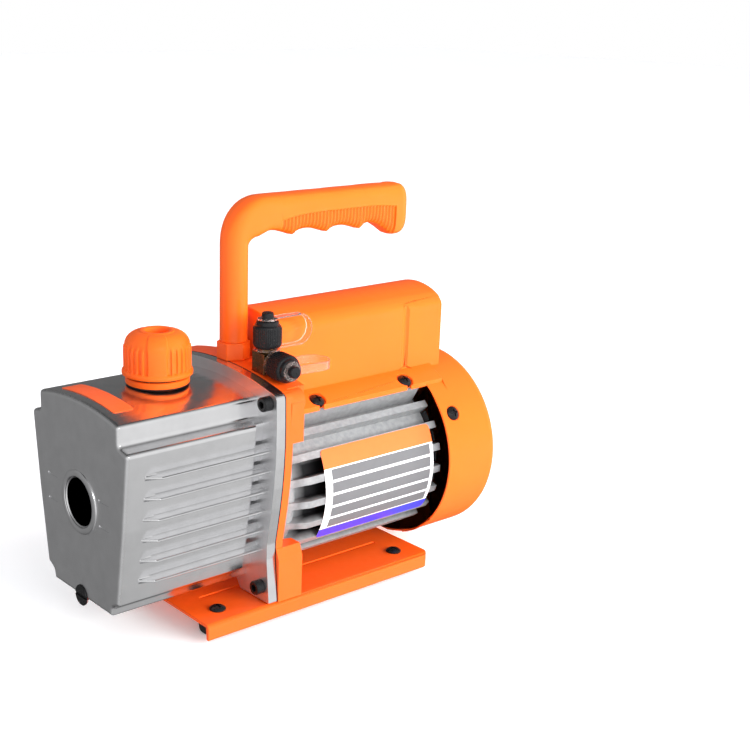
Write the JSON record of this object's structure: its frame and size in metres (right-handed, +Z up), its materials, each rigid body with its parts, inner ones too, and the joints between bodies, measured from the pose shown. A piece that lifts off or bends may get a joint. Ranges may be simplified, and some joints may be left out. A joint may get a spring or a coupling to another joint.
{
  "type": "hvac vacuum pump",
  "caption": "Portable rotary-vane vacuum pump: ribbed oil tank with sight glass, finned motor under a moulded cover, carrying handle, capped intake ports and base plate on rubber feet.",
  "frame": {"origin": "on the floor, at the middle of the bounding box's bottom face", "axes": "+X along the shaft from the oil tank towards the fan, +Y to the side away from the intake ports, +Z up"},
  "size_m": [0.2694, 0.1188, 0.2372],
  "materials": {
    "orange_paint": "satin",
    "orange_plastic": "gloss",
    "orange_label": "satin",
    "cast_aluminium": "satin",
    "motor_casting": "matte",
    "rubber_black": "matte",
    "seal_red": "matte",
    "black_oxide": "satin",
    "zinc_steel": "satin",
    "black_plastic": "satin",
    "glass_clear": "clear",
    "anodised_dark": "satin",
    "brass_dark": "satin",
    "clear_strap": "clear",
    "filter_fabric": "matte",
    "laminations": "matte",
    "copper": "satin",
    "rotor_metal": "satin",
    "shaft_steel": "satin",
    "bell_dark": "matte",
    "nameplate_print": "satin",
    "capacitor_shell": "satin",
    "rocker_red": "gloss",
    "wire_insulation": "matte",
    "pump_iron": "machined",
    "vane_composite": "matte"
  },
  "bodies": {
    "frame": {"base_plate": "orange_paint", "rubber_feet": "rubber_black", "foot_screws": "black_oxide", "foot_nuts": "zinc_steel", "bracket": "orange_paint", "bracket_bolts": "black_oxide", "oil_tank": "cast_aluminium", "tank_gasket": "rubber_black", "flange_bolts": "black_oxide", "tank_label": "orange_label", "sight_glass": "glass_clear", "sight_glass_ring": "anodised_dark", "sight_glass_seal": "rubber_black", "filler_neck": "orange_plastic", "filler_neck_seal": "rubber_black", "exhaust_filter": "filter_fabric", "handle": "orange_plastic", "handle_nut": "orange_plastic", "intake_fitting": "brass_dark", "intake_screen": "brass_dark", "cap_strap_top": "clear_strap", "cap_strap_side": "clear_strap", "stator_housing": "motor_casting", "stator_core": "laminations", "stator_windings": "copper", "front_bearing": "zinc_steel", "rear_bearing": "zinc_steel", "end_bell": "bell_dark", "motor_cover": "orange_plastic", "cover_screws": "black_oxide", "nameplate": "nameplate_print", "capacitor": "capacitor_shell", "capacitor_clip": "zinc_steel", "switch_bezel": "black_plastic", "power_inlet": "black_plastic", "inlet_pins": "brass_dark", "wiring": "wire_insulation", "pump_plates": "pump_iron", "pump_cylinders": "pump_iron", "shaft_seal": "rubber_black", "pump_bolts": "black_oxide", "discharge_valve": "zinc_steel", "intake_tube": "copper"},
    "rotor": {"rotor_core": "rotor_metal", "motor_shaft": "shaft_steel", "cooling_fan": "black_plastic", "pump_shaft": "shaft_steel", "shaft_coupling": "shaft_steel", "pump_rotors": "pump_iron", "vanes": "vane_composite"},
    "oil_cap_gasket": {"oil_cap_seal": "rubber_black"},
    "oil_cap_knob": {"oil_cap": "orange_plastic"},
    "drain_gasket": {"drain_plug_seal": "seal_red"},
    "drain_screw": {"drain_plug": "black_oxide"},
    "top_cap_seal": {"intake_seal_top": "rubber_black"},
    "top_cap": {"intake_cap_top": "black_plastic"},
    "side_cap_seal": {"intake_seal_side": "rubber_black"},
    "side_cap": {"intake_cap_side": "black_plastic"},
    "rocker": {"rocker_switch": "rocker_red"}
  },
  "joints": [
    {"name": "rotor_spin", "type": "hinge", "parent": "frame", "child": "rotor", "pos_m": [0.0139, 0, 0.0684], "axis": [1, 0, 0], "continuous": true},
    {"name": "oil_cap_lift", "type": "slide", "parent": "frame", "child": "oil_cap_gasket", "axis": [0, 0, 1], "range_m": [0, 0.012]},
    {"name": "oil_cap_turn", "type": "hinge", "parent": "oil_cap_gasket", "child": "oil_cap_knob", "pos_m": [-0.082, 0, 0.15], "axis": [0, 0, 1], "range_deg": [0, 1444]},
    {"name": "drain_out", "type": "slide", "parent": "frame", "child": "drain_gasket", "axis": [-1, 0, 0], "range_m": [0, 0.01]},
    {"name": "drain_turn", "type": "hinge", "parent": "drain_gasket", "child": "drain_screw", "pos_m": [-0.1331, 0, 0.0242], "axis": [-1, 0, 0], "range_deg": [0, 2884]},
    {"name": "top_cap_lift", "type": "slide", "parent": "frame", "child": "top_cap_seal", "axis": [0, 0, 1], "range_m": [0, 0.01016], "deforming": ["cap_strap_top"]},
    {"name": "top_cap_turn", "type": "hinge", "parent": "top_cap_seal", "child": "top_cap", "pos_m": [-0.0287, -0.03, 0.165], "axis": [0, 0, 1], "range_deg": [0, 2884]},
    {"name": "side_cap_out", "type": "slide", "parent": "frame", "child": "side_cap_seal", "axis": [-0.0872, -0.9962, 0], "range_m": [0, 0.01016], "deforming": ["cap_strap_side"]},
    {"name": "side_cap_turn", "type": "hinge", "parent": "side_cap_seal", "child": "side_cap", "pos_m": [-0.0287, -0.03, 0.1495], "axis": [-0.0872, -0.9962, 0], "range_deg": [0, 2884]},
    {"name": "rocker_tilt", "type": "hinge", "parent": "frame", "child": "rocker", "pos_m": [0.1129, 0, 0.1622], "axis": [0, 0, 1], "range_deg": [0, 16]}
  ],
  "couplings": [
    {"joint": "oil_cap_turn", "follows": "oil_cap_lift", "rad_per_m": 2094.4},
    {"joint": "drain_turn", "follows": "drain_out", "rad_per_m": 5026.5},
    {"joint": "top_cap_turn", "follows": "top_cap_lift", "rad_per_m": 4947.4},
    {"joint": "side_cap_turn", "follows": "side_cap_out", "rad_per_m": 4947.4}
  ]
}
